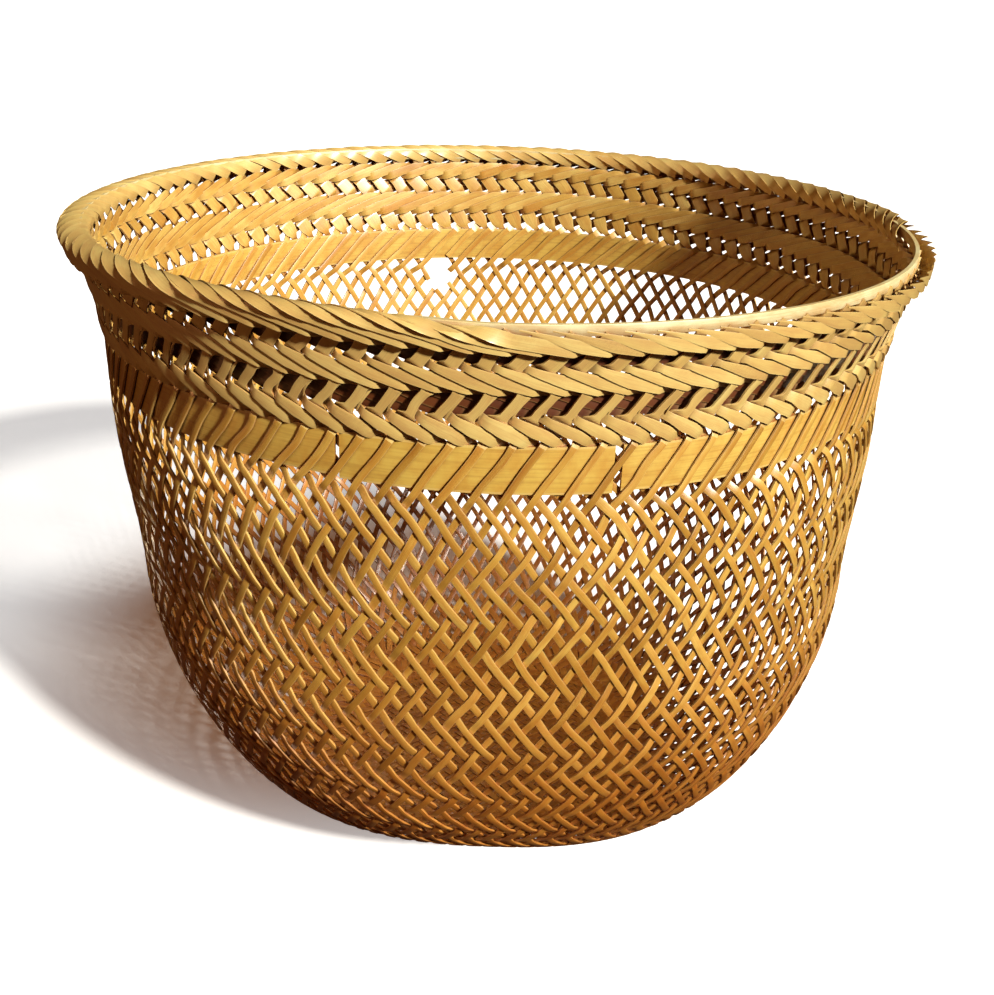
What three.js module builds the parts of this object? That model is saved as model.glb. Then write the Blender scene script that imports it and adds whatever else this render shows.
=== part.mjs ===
// A round plaited basket. Narrow strips cross in a dense square base, fold up and cross again as an
// open wall shaped like a bowl, run over and under a flat splint band, and end in a border of three
// rows of slanting strips below a splint hoop at the rim.
// Millimetres, +Z up, origin under the middle of the base. The front is towards -Y.
import * as THREE from "three";

// Overall sizes
const rimRadius = 160; // outside of the upper row of strips
const height = 250; // base to the top of the strips over the hoop
const clearance = 0.3; // between pieces that touch

// Strips
const stripsEachWay = 104; // strips that lean each way, counted round the wall
const stripThickness = 0.9;

// Base and wall
const baseHalfSide = 57; // the square base, centre to side
const baseThickness = 1.8; // two crossed strips
const baseRoundness = 0.18; // outline of the base: 0 a sharp square, 1 a circle
const wallThickness = 1.8; // two crossed strips
const bowlHeight = 110; // height at which the side stops curving out
const bowlRadius = 149.5; // outside radius there
const bowlFullness = 1.84; // exponent of the curve from the base to the bowl's top
const bowlParting = 45; // degrees along that curve, where its lower and upper part meet
const rimOverhang = 8; // the upper row stands out this far beyond the wall under the band

// Openings between the strips that lean left and right, in rows shifted by half an opening
const openingsRound = 24;
const openingRows = 2; // whole rows in each part of the wall, with half a row above and below
const openingShare = 2 / 3; // of the room from one crossing to the next
const openingEdge = 8; // closed edge above and below the openings
const footOpeningsRound = 16; // in the bowl's foot, where the strips lie closer
const footOpeningShare = 0.5;

// Flat band
const bandHeight = 12.2;
const bandThickness = 1.2;
const bandSeat = 0.45; // band to the strips behind it
const grooveWall = 1.5; // strips behind the band
const bandJointLeft = 251.5; // degrees, visible joint left of the front
const bandJointRight = 284.8; // degrees, visible joint right of the front
const bandJointGap = 1.6; // open joint between the band's two lengths

// Border, from the band up
const lowerRowHeight = 12;
const lowerGap = 4.4; // between the lower and the middle row
const middleRowHeight = 11.5;
const upperGap = 6;
const upperRowHeight = 7.7;
const upperRowDrop = 0.8; // upper row below the top of the rim
const borderThickness = 1.8;
const borderFootHeight = 4; // thicker foot of the border over the band
const borderFlare = 1.3; // exponent of the outward curve of the border
const rowBulge = 0.7; // strips stand out at the middle of a row

const bandStrandRoom = 1.2; // over the band, for the strips that cross it

// Slopes of the strips in the rows, degrees from level
const lowerRowSlope = 37.5;
const middleRowSlope = 27;
const upperRowSlope = 19;

// Relief of the strips that lie side by side in a row
const seamDepth = 0.5; // a strip's low edge under its neighbour's high edge
const highEdge = 0.8; // place of the high edge, as a share of the strips' spacing

// Hoop and the strips that wrap it
const hoopThickness = 2.4;
const hoopHeight = 5;
const hoopJoint = 120; // degrees, where the hoop's ends meet under the wrapping
const hoopJointGap = 0.2; // degrees
const wrapReach = 8.5; // down the inside of the rim
const wrapSlant = 5; // along the rim, from the foot of a wrap to its top
const wrapStart = 5; // degrees, the hoop is bare from the wrapping's end round to its start
const wrapEnd = 270.7; // degrees

// Facets
const ringSteps = 64;
const wallSteps = 3 * openingsRound; // columns of the wall's open parts
const borderSteps = 4;

const degree = Math.PI / 180;
const tinyTurn = 0.001; // radians
const tinyStep = 0.0001; // of a column or of a part's height
const pitchAngle = (2 * Math.PI) / stripsEachWay;

// Heights, from the rim down
const hoopTop = height - stripThickness - clearance;
const hoopBottom = hoopTop - hoopHeight;
const borderTop = hoopBottom - clearance;
const upperRowTop = height - upperRowDrop;
const upperRowBottom = upperRowTop - upperRowHeight;
const middleRowTop = upperRowBottom - upperGap;
const middleRowBottom = middleRowTop - middleRowHeight;
const lowerRowTop = middleRowBottom - lowerGap;
const lowerRowBottom = lowerRowTop - lowerRowHeight;
const borderBottom = lowerRowBottom - clearance;
const bandTop = borderBottom - clearance;
const bandBottom = bandTop - bandHeight;
const ledge = bandBottom - clearance; // the wall carries the band here

// Radii at the band
const wallTopRadius = rimRadius - rimOverhang; // outside radius under the band
const bandOutside = wallTopRadius - bandStrandRoom;
const bandInside = bandOutside - bandThickness;
const grooveRadius = bandInside - bandSeat;
const rowFootRadius = wallTopRadius;

// Outside of the rows of strips, and the border behind them.
function rowRadius(z) {
  const share = (z - lowerRowBottom) / (upperRowTop - lowerRowBottom);
  return rowFootRadius + (rimRadius - rowFootRadius) * Math.max(share, 0) ** borderFlare;
}

function borderRadius(z) {
  return rowRadius(z) - stripThickness - clearance;
}

// Outside of the wall below the band: half its width, and how round its outline is.
function bowlPoint(turn) {
  const out = Math.sin(turn) ** (2 / bowlFullness);
  const up = 1 - Math.cos(turn) ** (2 / bowlFullness);
  const foot = baseHalfSide + clearance;
  return {
    r: foot + (bowlRadius - foot) * out,
    z: bowlHeight * up,
    round: baseRoundness + (1 - baseRoundness) * out,
  };
}

// Distance from the axis to an outline that goes from a square to a circle.
function outlineRadius(angle, halfWidth, round) {
  const power = 2 / round;
  const sum = Math.abs(Math.cos(angle)) ** power + Math.abs(Math.sin(angle)) ** power;
  return halfWidth / sum ** (1 / power);
}

function outlinePoint(angle, point) {
  const radius = outlineRadius(angle, point.r, point.round ?? 1);
  return [radius * Math.cos(angle), radius * Math.sin(angle), point.z];
}

// One closed body from its corners and triangles, turned so that its faces point out.
function closedBody(corners, triangles) {
  let volume = 0;
  for (const [a, b, c] of triangles) {
    const first = new THREE.Vector3(...corners[a]);
    const second = new THREE.Vector3(...corners[b]);
    const third = new THREE.Vector3(...corners[c]);
    volume += first.dot(second.cross(third));
  }
  const index = triangles.flatMap(([a, b, c]) => (volume > 0 ? [a, b, c] : [a, c, b]));
  const geometry = new THREE.BufferGeometry();
  geometry.setAttribute("position", new THREE.Float32BufferAttribute(corners.flat(), 3));
  geometry.setIndex(index);
  geometry.computeVertexNormals();
  return geometry;
}

// The two end faces of a section carried along an arc, the second one at a later corner.
function endFaces(section, last) {
  const flat = section.map((point) => new THREE.Vector2(point.r, point.z));
  const faces = THREE.ShapeUtils.triangulateShape(flat, []);
  const turned = THREE.ShapeUtils.isClockWise(flat);
  const near = faces.map(([a, b, c]) => (turned ? [a, c, b] : [a, b, c]));
  const far = near.map(([a, b, c]) => [a + last, c + last, b + last]);
  return [...near, ...far];
}

// A closed profile carried round the axis, all the way or along an arc with flat ends.
function ring(profile, start = 0, end = 360) {
  const whole = end - start >= 360;
  const steps = Math.ceil((ringSteps * (end - start)) / 360);
  const stations = whole ? steps : steps + 1;
  const corners = [];
  const triangles = [];
  for (let i = 0; i < stations; i++) {
    const angle = (start + ((end - start) * i) / steps) * degree;
    for (const point of profile) {
      corners.push(outlinePoint(angle, point));
    }
  }
  const count = profile.length;
  for (let i = 0; i < steps; i++) {
    const here = i * count;
    const next = ((i + 1) % stations) * count;
    for (let k = 0; k < count; k++) {
      const other = (k + 1) % count;
      triangles.push([here + k, next + k, next + other]);
      triangles.push([here + k, next + other, here + other]);
    }
  }
  if (!whole) {
    triangles.push(...endFaces(profile, steps * count));
  }
  return closedBody(corners, triangles);
}

// A ring of strips that lie side by side, joined into one body. Each point of the section has a
// shift along the rim, which slants the strips, and a point on their face sinks at the seams.
function stripRing(section, start = 0, end = 360) {
  const whole = end - start >= 360;
  const strips = Math.floor(((end - start) * degree) / pitchAngle + 1e-6);
  const corners = [];
  const triangles = [];
  const columns = whole ? 2 * strips : 2 * strips + 1;
  for (let i = 0; i < columns; i++) {
    const seam = i % 2 === 0;
    const place = Math.floor(i / 2) + (seam ? 0 : highEdge);
    for (const point of section) {
      const angle = start * degree + place * pitchAngle + (point.shift ?? 0) / rimRadius;
      const r = point.r + (seam ? point.sinkR ?? 0 : 0);
      const z = point.z + (seam ? point.sinkZ ?? 0 : 0);
      corners.push([r * Math.cos(angle), r * Math.sin(angle), z]);
    }
  }
  const count = section.length;
  for (let i = 0; i < 2 * strips; i++) {
    const here = i * count;
    const next = ((i + 1) % columns) * count;
    for (let k = 0; k < count; k++) {
      const other = (k + 1) % count;
      triangles.push([here + k, next + k, next + other]);
      triangles.push([here + k, next + other, here + other]);
    }
  }
  if (!whole) {
    triangles.push(...endFaces(section, 2 * strips * count));
  }
  return closedBody(corners, triangles);
}

// One row of the border. The lean is +1 where a strip turns anticlockwise on its way up, seen
// from above, and -1 where it turns clockwise.
function stripRow({ bottom, top, slope, lean }) {
  const middle = (bottom + top) / 2;
  const slant = (z) => (lean * (z - middle)) / Math.tan(slope * degree);
  const facePoint = (z, bulge) => ({
    r: rowRadius(z) + bulge,
    z,
    shift: slant(z),
    sinkR: -seamDepth,
  });
  const backPoint = (z) => ({ r: rowRadius(z) - stripThickness, z, shift: slant(z) });
  return stripRing([
    backPoint(bottom),
    facePoint(bottom, 0),
    facePoint(middle, rowBulge),
    facePoint(top, 0),
    backPoint(top),
    backPoint(middle),
  ]);
}

// Base: strips crossed close together, flat underneath.
function baseMat() {
  const foot = { r: baseHalfSide, round: baseRoundness };
  const corners = [[0, 0, 0], [0, 0, baseThickness]];
  const triangles = [];
  for (let i = 0; i < ringSteps; i++) {
    const angle = (i * 2 * Math.PI) / ringSteps;
    corners.push(outlinePoint(angle, { ...foot, z: 0 }));
    corners.push(outlinePoint(angle, { ...foot, z: baseThickness }));
    const low = 2 + 2 * i;
    const nextLow = 2 + 2 * ((i + 1) % ringSteps);
    triangles.push([0, nextLow, low], [1, low + 1, nextLow + 1]);
    triangles.push([low, nextLow, nextLow + 1], [low, nextLow + 1, low + 1]);
  }
  return closedBody(corners, triangles);
}

// A place on the curve of the bowl, in radians, as a point outside and a point inside the wall.
function bowlWall(turn) {
  const outside = bowlPoint(turn);
  const before = bowlPoint(Math.max(turn - tinyTurn, 0));
  const after = bowlPoint(Math.min(turn + tinyTurn, Math.PI / 2));
  const along = new THREE.Vector2(after.r - before.r, after.z - before.z).normalize();
  const inside = {
    r: outside.r - along.y * wallThickness,
    z: outside.z + along.x * wallThickness,
    round: outside.round,
  };
  return { outside, inside };
}

// Openings of one part of the wall. A column is a place round the wall and a rise a share of the
// part's height. The first and last row are halves, cut off level.
function wallOpenings({ partHeight, columns, round, share }) {
  const edge = openingEdge / partHeight;
  const pitch = (1 - 2 * edge) / (openingRows + 1);
  const columnsEach = columns / round;
  const openings = [];
  for (let row = 0; row <= openingRows + 1; row++) {
    const shift = row % 2 === 0 ? 0 : columnsEach / 2;
    for (let i = 0; i <= round; i++) {
      openings.push({
        column: i * columnsEach + shift,
        reach: (share * columnsEach) / 2,
        rise: edge + row * pitch,
        up: row > openingRows ? 0 : share * pitch,
        down: row === 0 ? 0 : share * pitch,
      });
    }
  }
  return openings;
}

// Lower and upper edge of an opening inside one column, from left to right.
function edgesIn(opening, column) {
  const from = Math.max(column, opening.column - opening.reach);
  const to = Math.min(column + 1, opening.column + opening.reach);
  const across = to - from > tinyStep ? [from, to] : [from];
  if (opening.column - from > tinyStep && to - opening.column > tinyStep) {
    across.splice(1, 0, opening.column);
  }
  const share = (x) => Math.max(1 - Math.abs(x - opening.column) / opening.reach, 0);
  return {
    lower: across.map((x) => [x, opening.rise - opening.down * share(x)]),
    upper: across.map((x) => [x, opening.rise + opening.up * share(x)]),
    meetsLeft: from - column < tinyStep,
    meetsRight: column + 1 - to < tinyStep,
  };
}

// Closed faces of one column, as outlines round the openings that reach into it.
function closedFaces(openings, column) {
  const faces = [];
  const middle = column + 0.5;
  const near = openings.filter(
    (opening) => Math.abs(opening.column - middle) < opening.reach + 0.5 + tinyStep,
  );
  let left = [[column, 0]];
  let right = [[column + 1, 0]];
  for (const opening of near) {
    const { lower, upper, meetsLeft, meetsRight } = edgesIn(opening, column);
    if (meetsLeft && meetsRight) {
      faces.push([...left, ...lower, ...right.reverse()]);
      left = [upper[0]];
      right = [upper[upper.length - 1]];
    } else if (meetsLeft) {
      left.push(...lower, ...upper.reverse());
    } else {
      right.push(...lower.reverse(), ...upper);
    }
  }
  faces.push([...left, [column, 1], [column + 1, 1], ...right.reverse()]);
  return faces;
}

// A point on the flat face between two of a wall's columns.
function columnPoint(column, columns, point) {
  const low = Math.floor(column);
  const turn = (2 * Math.PI) / columns;
  const first = new THREE.Vector3(...outlinePoint(low * turn, point));
  const second = new THREE.Vector3(...outlinePoint((low + 1) * turn, point));
  return first.lerp(second, column - low).toArray();
}

// An outline without double points.
function singlePoints(outline) {
  return outline.filter(([column, rise], i) => {
    const next = outline[(i + 1) % outline.length];
    return Math.abs(column - next[0]) > tinyStep || Math.abs(rise - next[1]) > tinyStep;
  });
}

// A part of the wall with its openings. The place of a rise gives a point outside and a point
// inside, and the crown is what lies between the two along the upper edge.
function openWall({ columns, openings, place, crown = [] }) {
  const corners = [];
  const known = new Map();
  const chainAt = ([column, rise]) => {
    const name = `${(column % columns).toFixed(3)} ${rise.toFixed(4)}`;
    if (!known.has(name)) {
      const { outside, inside } = place(rise);
      const chain = [outside, ...(rise === 1 ? crown : []), inside];
      known.set(name, chain.map((point) => corners.push(columnPoint(column, columns, point)) - 1));
    }
    return known.get(name);
  };

  const triangles = [];
  const edges = new Map();
  for (let column = 0; column < columns; column++) {
    for (const outline of closedFaces(openings, column)) {
      const points = singlePoints(outline);
      const flat = points.map(([x, rise]) => new THREE.Vector2(x, rise));
      const chains = points.map(chainAt);
      for (const face of THREE.ShapeUtils.triangulateShape(flat, [])) {
        const [a, b, c] = face.map((i) => chains[i]);
        triangles.push([a[0], b[0], c[0]], [a.at(-1), c.at(-1), b.at(-1)]);
        for (const [from, to] of [[a, b], [b, c], [c, a]]) {
          edges.set(`${from[0]} ${to[0]}`, [from, to]);
        }
      }
    }
  }
  // What closes the wall at its two ends and round each opening
  for (const [from, to] of edges.values()) {
    if (edges.has(`${to[0]} ${from[0]}`)) {
      continue;
    }
    for (let k = 0; k + 1 < Math.min(from.length, to.length); k++) {
      triangles.push([to[k], from[k], from[k + 1]], [to[k], from[k + 1], to[k + 1]]);
    }
  }
  return closedBody(corners, triangles);
}

// One part of the bowl, between two places on its curve, in radians.
function wovenBowl({ from, to, columns, round, share }) {
  const first = bowlWall(from).outside;
  const last = bowlWall(to).outside;
  const partHeight = Math.hypot(last.r - first.r, last.z - first.z);
  return openWall({
    columns,
    openings: wallOpenings({ partHeight, columns, round, share }),
    place: (rise) => bowlWall(from + (to - from) * rise),
  });
}

// Side of the wall above the bowl, up to the groove in which the band lies.
function wovenSide() {
  const foot = bowlHeight + clearance;
  const crownFoot = ledge - 2 * wallThickness;
  const place = (rise) => {
    const z = foot + (ledge - foot) * rise;
    const r = bowlRadius + ((wallTopRadius - bowlRadius) * (z - bowlHeight)) / (ledge - bowlHeight);
    return { outside: { r, z }, inside: { r: r - wallThickness, z: Math.min(z, crownFoot) } };
  };
  return openWall({
    columns: wallSteps,
    openings: wallOpenings({
      partHeight: ledge - foot,
      columns: wallSteps,
      round: openingsRound,
      share: openingShare,
    }),
    place,
    crown: [
      { r: grooveRadius, z: ledge },
      { r: grooveRadius, z: bandTop },
      { r: grooveRadius - grooveWall, z: bandTop },
      { r: grooveRadius - grooveWall, z: ledge - wallThickness },
    ],
  });
}

// Border behind the rows of strips, from the band to the hoop.
function wovenBorder() {
  const profile = [];
  for (let i = 0; i <= borderSteps; i++) {
    const z = borderBottom + ((borderTop - borderBottom) * i) / borderSteps;
    profile.push({ r: borderRadius(z), z });
  }
  for (let i = borderSteps; i >= 1; i--) {
    const { r, z } = profile[i];
    profile.push({ r: r - borderThickness, z });
  }
  const footTop = borderBottom + borderFootHeight;
  profile.push({ r: borderRadius(footTop) - borderThickness, z: footTop });
  profile.push({ r: grooveRadius - grooveWall, z: borderBottom });
  return ring(profile);
}

// Four-cornered ring section between two radii and two heights.
function flatSection(inner, outer, bottom, top) {
  return [
    { r: inner, z: bottom },
    { r: outer, z: bottom },
    { r: outer, z: top },
    { r: inner, z: top },
  ];
}

const partingGap = clearance / bowlHeight; // radians, between the bowl's two parts

const bowlFoot = wovenBowl({
  from: 0,
  to: bowlParting * degree - partingGap / 2,
  columns: ringSteps,
  round: footOpeningsRound,
  share: footOpeningShare,
});
const bowl = wovenBowl({
  from: bowlParting * degree + partingGap / 2,
  to: Math.PI / 2,
  columns: wallSteps,
  round: openingsRound,
  share: openingShare,
});

const bandSection = flatSection(bandInside, bandOutside, bandBottom, bandTop);
const bandGapAngle = bandJointGap / bandOutside / degree;

// Hoop: a splint bent round the rim until its ends meet.
const hoopOutside = Math.min(borderRadius(borderTop), borderRadius(hoopTop));
const hoopInside = hoopOutside - hoopThickness;
const hoopSection = flatSection(hoopInside, hoopOutside, hoopBottom, hoopTop);

// Strips that come up inside the hoop and bend over it, side by side.
function rimWraps() {
  const foot = height - wrapReach;
  const carrier = Math.min(hoopInside, borderRadius(foot) - borderThickness);
  const under = carrier * Math.cos(Math.PI / ringSteps) - clearance;
  const face = under - stripThickness;
  const crown = hoopTop + clearance;
  return stripRing([
    { r: under, z: foot },
    { r: face, z: foot, shift: -wrapSlant, sinkR: seamDepth },
    { r: face, z: height, sinkR: seamDepth, sinkZ: -seamDepth },
    { r: hoopOutside, z: height, sinkZ: -seamDepth },
    { r: hoopOutside, z: crown },
    { r: under, z: crown },
  ], wrapStart, wrapEnd);
}

const lowerRow = stripRow({
  bottom: lowerRowBottom,
  top: lowerRowTop,
  slope: lowerRowSlope,
  lean: -1,
});
const middleRow = stripRow({
  bottom: middleRowBottom,
  top: middleRowTop,
  slope: middleRowSlope,
  lean: -1,
});
const upperRow = stripRow({
  bottom: upperRowBottom,
  top: upperRowTop,
  slope: upperRowSlope,
  lean: -1,
});

// Colours of the lacquered strips and splints
const looks = {
  wallStrip: new THREE.MeshStandardMaterial({ color: 0xc9922f, roughness: 0.38, metalness: 0 }),
  baseStrip: new THREE.MeshStandardMaterial({ color: 0x9a6420, roughness: 0.5, metalness: 0 }),
  borderStrip: new THREE.MeshStandardMaterial({ color: 0xd9a640, roughness: 0.35, metalness: 0 }),
  bandSplint: new THREE.MeshStandardMaterial({ color: 0xd6a53e, roughness: 0.4, metalness: 0 }),
  rimSplint: new THREE.MeshStandardMaterial({ color: 0xe8e2b8, roughness: 0.55, metalness: 0 }),
};

const basket = new THREE.Group();

function add(name, geometry, material) {
  const mesh = new THREE.Mesh(geometry, material);
  mesh.name = name;
  basket.add(mesh);
}

add("base_mat", baseMat(), looks.baseStrip);
add("woven_bowl_foot", bowlFoot, looks.wallStrip);
add("woven_bowl", bowl, looks.wallStrip);
add("woven_side", wovenSide(), looks.wallStrip);
add("woven_border", wovenBorder(), looks.wallStrip);
add("band_long_length", ring(bandSection, bandJointRight - 360, bandJointLeft), looks.bandSplint);
add("band_short_length",
  ring(bandSection, bandJointLeft + bandGapAngle, bandJointRight - bandGapAngle), looks.bandSplint);
add("lower_row", lowerRow, looks.borderStrip);
add("middle_row", middleRow, looks.borderStrip);
add("upper_row", upperRow, looks.borderStrip);
add("rim_hoop", ring(hoopSection, hoopJoint + hoopJointGap, hoopJoint + 360), looks.rimSplint);
add("rim_wraps", rimWraps(), looks.borderStrip);

export default basket;
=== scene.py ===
"""A round plaited basket of split rattan. 104 strips cross in a dense square base, fold up and cross
again on the slant as an open wall, run over and under a flat splint band, make three rows of a braided
border, and bend over a splint hoop at the rim."""
import math

import bpy
import numpy as np
from mathutils import Matrix, Vector


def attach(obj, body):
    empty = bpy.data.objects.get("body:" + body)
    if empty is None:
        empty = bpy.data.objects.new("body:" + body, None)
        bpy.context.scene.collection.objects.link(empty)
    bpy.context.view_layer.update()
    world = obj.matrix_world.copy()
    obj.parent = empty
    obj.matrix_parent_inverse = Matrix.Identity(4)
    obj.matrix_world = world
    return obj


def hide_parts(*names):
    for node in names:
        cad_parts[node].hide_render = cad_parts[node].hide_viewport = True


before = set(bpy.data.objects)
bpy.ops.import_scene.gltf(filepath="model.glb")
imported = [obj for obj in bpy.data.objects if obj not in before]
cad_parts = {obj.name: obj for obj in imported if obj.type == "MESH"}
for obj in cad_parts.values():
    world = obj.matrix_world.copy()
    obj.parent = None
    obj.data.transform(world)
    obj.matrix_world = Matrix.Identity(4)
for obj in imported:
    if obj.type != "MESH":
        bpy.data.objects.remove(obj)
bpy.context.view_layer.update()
scene = bpy.context.scene
rng = np.random.default_rng(27)
MM = 0.001

# Sizes, in millimetres
HEIGHT = 250.0
RIM_RADIUS = 160.0
FOOT_RADIUS = 152.0  # outside of the wall under the band
FOOT_HEIGHT = 207.6  # where the border starts to flare
RIM_HEIGHT = 249.2
FLARE = 1.3
BOWL_RADIUS = 147.0
BOWL_HEIGHT = 113.0
BOWL_FULLNESS = 1.78
BASE_HALF = 54.3
BASE_ROUND = 0.62

STRIPS = 104  # strips that lean each way round the wall
GAP = 2 * math.pi / STRIPS  # radians from one strip to the next
STRIP_WIDTH = 2.65
STRIP_THICK = 0.85
LAYER = 0.45  # half of two crossed strips

# Rounds of crossings, counted from the rim, and their depth below it: three rows of the border with the
# gaps between them, the band, and the wall, where the rounds lie closer from the band down
CROSSINGS = [(1, 3), (3, 7.3), (4, 9.7), (6, 14.4), (7, 16.7), (9, 21.1), (10, 23.4), (13, 30.9), (14, 33.4),
             (15, 37.4), (16, 41.8), (17, 47), (20, 61.9), (25, 98), (30, 133.7), (36, 171.1), (43, 212.6)]
OUTER_ROWS = ((0, 3), (7, 9), (14, 15))  # rounds where the left-leaning strips lie outside, in the border
FOLD = 64  # round of crossings at the edge of the base
BASE_ROUNDS = 26  # rounds of crossings in the base
BAND_ROUNDS = (16, 19)
BORDER_CUT = 15.7  # the border's pieces end here and the wall's begin
COARSE_FROM = 43  # from this round of crossings down the strips have fewer points
FINE_STEP, COARSE_STEP = 0.2, 1 / 3  # rounds of crossings from one point of a strip to the next
WANDER_RADIUS, SPLINTER_RADIUS = 150.0, 155.0  # radii that turn small shifts to the side into angles
BASE_TURN = math.radians(43.76)  # way in which half of the base's strips run
LEAN = 0.0207  # the rim sits a little to the left of the base
OVAL = (0.006, -0.0189)  # the rim isn't quite round

BARE_FROM, BARE_TO = math.radians(-87), math.radians(4)  # no strips bend over the hoop here
LEFT_TOP, RIGHT_TOP = 1.0, 1.6  # rounds of crossings where the strips' lengths on the wall start
BARE_LEFT_TOP, BARE_RIGHT_TOP = 0.0, 1.8

# Splinters beside the right-leaning strips in the border's two gaps: chance, the round of crossings where
# they start, and the least and the greatest round where they end
SPLINTERS = ((0.6, 3.4, 5.8, 6.8), (0.85, 9.8, 12.6, 13.8))

BAND_RADIUS, BAND_THICK, BAND_MIDDLE = 150.2, 1.2, 202.2
HOOP_RADIUS, HOOP_THICK, HOOP_MIDDLE, HOOP_HEIGHT = 156.4, 2.4, 246.3, 5.0


def smooth(x):
    """0 to 1 with an easy start and end."""
    x = np.clip(x, 0, 1)
    return x * x * (3 - 2 * x)


# The basket's surface
def row_radius(z):
    """The radius of the flaring border at a height."""
    share = (z - FOOT_HEIGHT) / (RIM_HEIGHT - FOOT_HEIGHT)
    return FOOT_RADIUS + (RIM_RADIUS - FOOT_RADIUS) * np.maximum(share, 0) ** FLARE


def meridian():
    """The wall's outline from the rim to the foot: length along it, radius, height, roundness."""
    bowl_points = 400
    z = np.arange(HEIGHT + 2, BOWL_HEIGHT, -0.5)
    side = BOWL_RADIUS + (FOOT_RADIUS - BOWL_RADIUS) * smooth((z - BOWL_HEIGHT) / 70)
    r = np.where(z > FOOT_HEIGHT, row_radius(z), side)
    turn = np.linspace(math.pi / 2, 0, bowl_points)
    out = np.sin(turn) ** (2 / BOWL_FULLNESS)
    up = 1 - np.cos(turn) ** (2 / BOWL_FULLNESS)
    r = np.concatenate([r, BASE_HALF + (BOWL_RADIUS - BASE_HALF) * out])
    z = np.concatenate([z, BOWL_HEIGHT * up])
    round_ = np.concatenate([np.ones(len(r) - bowl_points), BASE_ROUND + (1 - BASE_ROUND) * out])
    length = np.concatenate([[0], np.cumsum(np.hypot(np.diff(r), np.diff(z)))])
    return length, r, z, round_


LENGTH, RADIUS, LEVEL, ROUND = meridian()


def rounds_table():
    """Where each round of crossings lies along the wall's outline."""
    numbers, depths = np.array(CROSSINGS, float).T
    last = CROSSINGS[-1][0]
    depth = np.interp(np.arange(1, last + 1), numbers, depths)
    wall = np.interp(HEIGHT - depth, LEVEL[::-1], LENGTH[::-1])
    total = LENGTH[-1] - wall[-1]
    first = wall[-1] - wall[-2]
    final = 2 * total / (FOLD - last) - first
    steps = np.linspace(first, final, FOLD - last + 1)[1:]
    steps *= total / steps.sum()
    return np.concatenate([[wall[0] - 2.2], wall, wall[-1] + np.cumsum(steps)])


def lean_shares():
    """Share of a round's turn that the left-leaning strips take; the right-leaning take the rest."""
    share = np.full(FOLD, 0.5)
    for first, last, value in ((0, 3, 0.84), (4, 12, 0.80), (13, 13, 0.78), (14, 14, 0.76), (15, 15, 0.70),
                               (16, 19, 0.61), (20, 24, 0.53)):
        share[first:last + 1] = value
    return share


GRID_STEP = 0.05
FINE = np.arange(0, FOLD + 0.001, GRID_STEP)


def eased(values, reach):
    """A table given at whole rounds, on a fine grid with its corners eased."""
    fine = np.interp(FINE, np.arange(len(values)), values)
    size = int(reach / GRID_STEP) | 1
    before = 2 * fine[0] - fine[size // 2:0:-1]
    after = 2 * fine[-1] - fine[-2:-size // 2 - 1:-1]
    return np.convolve(np.concatenate([before, fine, after]), np.ones(size) / size, "valid")


ROUND_LENGTH = eased(rounds_table(), 0.9)
LEFT_TURN = eased(np.concatenate([[0], np.cumsum(lean_shares() * GAP)]), 0.9)
RIGHT_TURN = eased(np.concatenate([[0], np.cumsum((1 - lean_shares()) * GAP)]), 0.9)


def outline_radius(angle, half, round_):
    """The radius of a rounded square, from a near square at 0 to a circle at 1."""
    power = 2 / round_
    total = np.abs(np.cos(angle)) ** power + np.abs(np.sin(angle)) ** power
    return half / total ** (1 / power)


# Places where the plait has slipped: angle, distance down the wall, spread of both, shift down
SLIPS = [(-120, 72, 9, 16, -3), (-84, 78, 8, 14, 3), (-104, 102, 9, 14, 1.5), (-60, 92, 10, 18, -1.5),
         (-96, 140, 12, 18, -1.5), (-72, 150, 12, 20, 1.5), (100, 66, 8, 14, 3), (60, 80, 14, 20, -2.5),
         (150, 90, 14, 24, 3), (20, 110, 14, 24, -3), (-20, 80, 12, 20, 2.0), (-45, 60, 10, 12, -1.5)]


def border_drop(angle):
    """The rows and the band lie a little lower at the right of the front than at its left."""
    degrees = (np.degrees(angle) + 180) % 360 - 180
    return 1.0 * np.exp(-((degrees + 62) / 25) ** 2) - 1.1 * np.exp(-((degrees + 122) / 22) ** 2)


def bare_share(angle):
    """1 where no strips bend over the hoop, which is pared down there."""
    degrees = (np.degrees(angle) + 180) % 360 - 180
    return smooth((degrees + 97) / 7) * smooth((8 - degrees) / 6)


def slip(length, angle):
    """How far the plait lies down the wall from its even place."""
    total = 0.5 * np.sin(3 * angle + 0.6) + 0.4 * np.sin(7 * angle + 2.1)
    for place, down, wide, tall, shift in SLIPS:
        off = np.angle(np.exp(1j * (angle - math.radians(place))))
        total = total + shift * np.exp(-(off / math.radians(wide)) ** 2 - ((length - down) / tall) ** 2)
    total = total * smooth((length - 8) / 20) * smooth((LENGTH[-1] - length) / 60)
    return total + border_drop(angle) * smooth((100 - length) / 40)


def handmade(x, y, z, angle):
    """The small lean and the oval rim of the real basket."""
    share = np.clip(1 - (HEIGHT - z) / 60, 0, 1)
    oval = 1 + share * (OVAL[0] * np.cos(2 * angle) + OVAL[1] * np.sin(2 * angle))
    return np.stack([x * oval - LEAN * z, y * oval, z], -1)


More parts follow.
